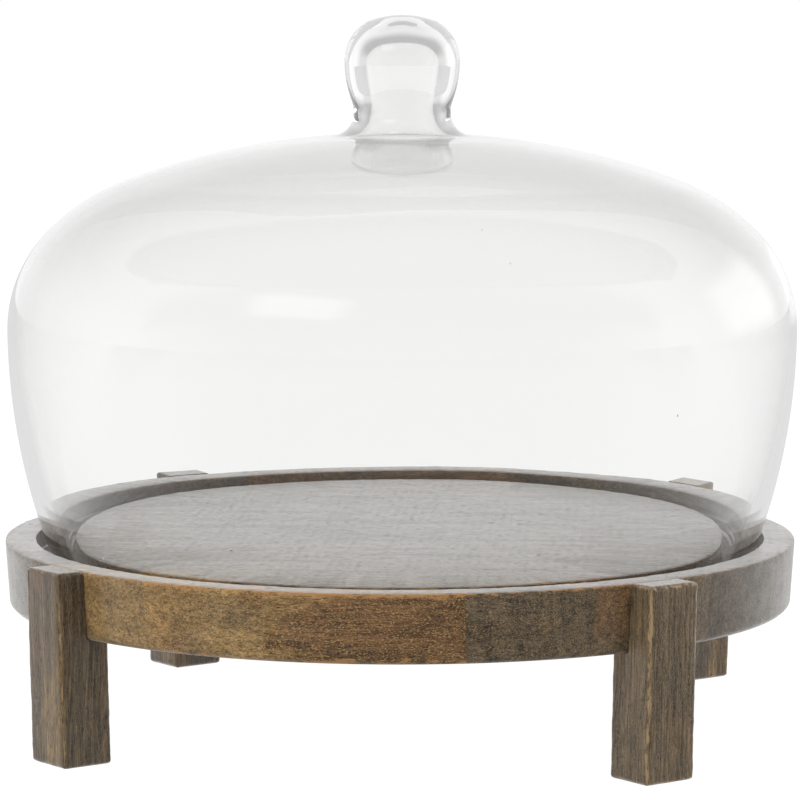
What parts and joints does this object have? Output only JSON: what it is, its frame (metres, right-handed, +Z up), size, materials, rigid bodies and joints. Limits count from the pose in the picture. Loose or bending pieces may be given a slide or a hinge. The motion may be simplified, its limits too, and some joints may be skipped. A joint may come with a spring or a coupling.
{
  "type": "cheese dome",
  "caption": "Round wooden tray on four coped legs, with a groove that holds a blown glass dome with a hollow knob, which lifts off.",
  "frame": {"origin": "on the table under the middle of the tray, at the height of the feet", "axes": "+Z up along the dome's axis; the legs stand on the diagonals of X and Y; -Y is the front"},
  "size_m": [0.3048, 0.3048, 0.2722],
  "materials": {
    "clear_glass": "clear hand-blown glass, fire polished, with a few small seeds",
    "stained_wood": "grey-brown stain on an open-grained hardwood, sanded through along the edges, matt oil",
    "dowel_wood": "plain unfinished beech"
  },
  "bodies": {
    "stand": {"tray_stave_left": "stained_wood", "tray_stave_middle": "stained_wood", "tray_stave_right": "stained_wood", "tray_board_1": "stained_wood", "tray_board_2": "stained_wood", "tray_board_3": "stained_wood", "tray_board_4": "stained_wood", "tray_board_5": "stained_wood", "tray_board_6": "stained_wood", "leg_front_left": "stained_wood", "leg_front_right": "stained_wood", "leg_back_left": "stained_wood", "leg_back_right": "stained_wood", "leg_dowels": "dowel_wood"},
    "dome": {"glass_dome": "clear_glass"}
  },
  "joints": [
    {"name": "dome_lift", "type": "slide", "parent": "stand", "child": "dome", "axis": [0, 0, 1], "range_m": [0, 0.25]}
  ]
}
